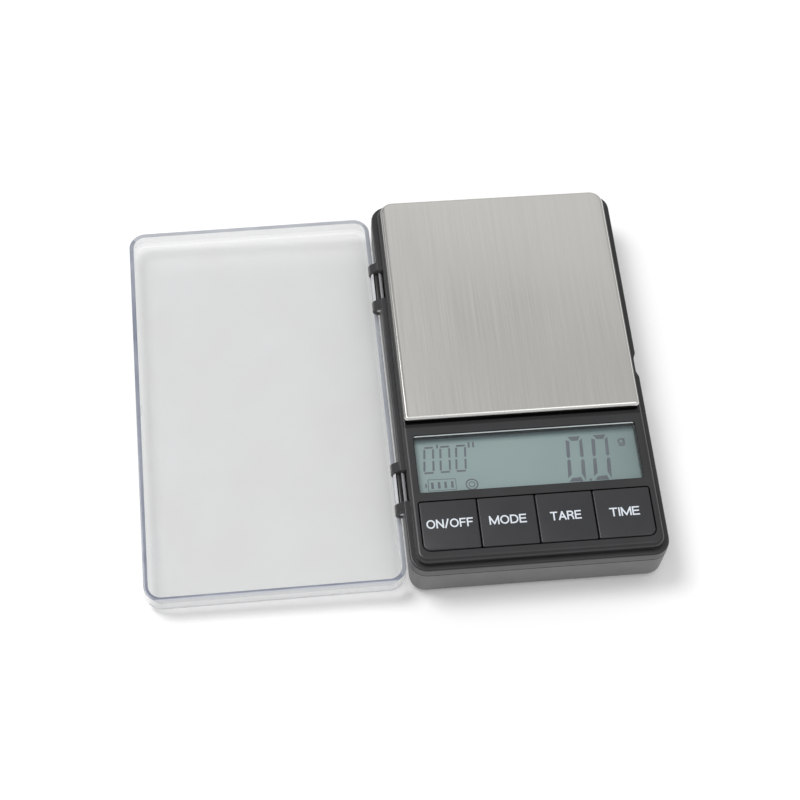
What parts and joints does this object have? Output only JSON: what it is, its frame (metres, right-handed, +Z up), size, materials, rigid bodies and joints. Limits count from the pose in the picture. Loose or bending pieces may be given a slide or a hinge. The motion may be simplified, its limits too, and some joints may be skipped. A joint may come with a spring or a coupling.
{
  "type": "digital gram scale",
  "caption": "Slim pocket gram scale with a clear hinged cover that opens flat as a tray, a bent steel weighing plate, a display window and a row of flat keys.",
  "frame": {"origin": "on the table, under the hinge line of the cover at the middle of its length", "axes": "+X from the open cover across the housing, +Y from the keys to the back of the weighing plate, +Z up"},
  "size_m": [0.1531, 0.128, 0.0209],
  "materials": {
    "black_plastic": "moulded black plastic with a fine satin grain",
    "key_plastic": "moulded dark grey plastic, smoother than the housing",
    "clear_cover": "clear moulded plastic, glossy",
    "clear_window": "clear plastic window, glossy",
    "lcd_glass": "grey-green liquid crystal glass with dark segments",
    "plate_steel": "stainless sheet brushed along its length",
    "screw_steel": "plain steel",
    "hinge_rod": "blackened steel pin",
    "aluminium": "milled",
    "silicone_white": "white silicone",
    "silicone_dark": "layered silicone connector",
    "foam": "thin black foam",
    "foot_rubber": "black rubber",
    "white_plastic": "white moulded plastic",
    "chip": "black moulded epoxy or plastic",
    "board": "green solder mask on fibreglass",
    "contact": "nickel-plated spring steel",
    "cell_wrap": "plain blue film sleeve, bare steel ends",
    "lead_red": "red insulated wire",
    "lead_black": "black insulated wire"
  },
  "bodies": {
    "housing": {"upper_housing": "black_plastic", "lower_housing": "black_plastic", "display_window": "clear_window", "display_gasket": "foam", "lcd_panel": "lcd_glass", "lcd_holder": "white_plastic", "zebra_strip": "silicone_dark", "circuit_board": "board", "controller_chip": "chip", "buzzer": "chip", "load_cell": "aluminium", "gauge_cover_top": "silicone_white", "gauge_cover_bottom": "silicone_white", "overload_stop_screw": "screw_steel", "battery_cell_1": "cell_wrap", "battery_cell_2": "cell_wrap", "contact_bridge": "contact", "contact_positive": "contact", "contact_negative": "contact", "hinge_rod_front": "hinge_rod", "hinge_rod_rear": "hinge_rod", "load_cell_lead": "silicone_white", "battery_lead_positive": "lead_red", "battery_lead_negative": "lead_black", "key_switch_1": "chip", "foot_1": "foot_rubber", "housing_screw_1": "screw_steel", "key_switch_2": "chip", "foot_2": "foot_rubber", "housing_screw_2": "screw_steel", "key_switch_3": "chip", "foot_3": "foot_rubber", "housing_screw_3": "screw_steel", "key_switch_4": "chip", "foot_4": "foot_rubber", "housing_screw_4": "screw_steel", "load_cell_screw_1": "screw_steel", "load_cell_screw_2": "screw_steel", "board_screw_1": "screw_steel", "board_screw_2": "screw_steel", "board_screw_3": "screw_steel"},
    "cover": {"lid": "clear_cover"},
    "pan": {"weighing_plate": "plate_steel", "plate_carrier": "black_plastic", "carrier_screw_1": "screw_steel", "carrier_screw_2": "screw_steel"},
    "door": {"battery_door": "black_plastic"},
    "on_off_key": {"on_off_key": "key_plastic", "switch_plunger_1": "white_plastic"},
    "mode_key": {"mode_key": "key_plastic", "switch_plunger_2": "white_plastic"},
    "tare_key": {"tare_key": "key_plastic", "switch_plunger_3": "white_plastic"},
    "time_key": {"time_key": "key_plastic", "switch_plunger_4": "white_plastic"}
  },
  "joints": [
    {"name": "cover_hinge", "type": "hinge", "parent": "housing", "child": "cover", "pos_m": [0, 0, 0.0131], "axis": [0, 1, 0], "range_deg": [0, 181.1]},
    {"name": "pan_travel", "type": "slide", "parent": "housing", "child": "pan", "axis": [0, 0, -1], "range_m": [0, 0.0004], "stiffness_N_per_m": 12000, "springref_m": -0.00006, "deforming": ["load_cell"]},
    {"name": "door_slide", "type": "slide", "parent": "housing", "child": "door", "axis": [0, 1, 0], "range_m": [0, 0.026]},
    {"name": "on_off_press", "type": "slide", "parent": "housing", "child": "on_off_key", "axis": [0, 0, -1], "range_m": [0, 0.0004], "stiffness_N_per_m": 500, "springref_m": -0.0004},
    {"name": "mode_press", "type": "slide", "parent": "housing", "child": "mode_key", "axis": [0, 0, -1], "range_m": [0, 0.0004], "stiffness_N_per_m": 500, "springref_m": -0.0004},
    {"name": "tare_press", "type": "slide", "parent": "housing", "child": "tare_key", "axis": [0, 0, -1], "range_m": [0, 0.0004], "stiffness_N_per_m": 500, "springref_m": -0.0004},
    {"name": "time_press", "type": "slide", "parent": "housing", "child": "time_key", "axis": [0, 0, -1], "range_m": [0, 0.0004], "stiffness_N_per_m": 500, "springref_m": -0.0004}
  ]
}
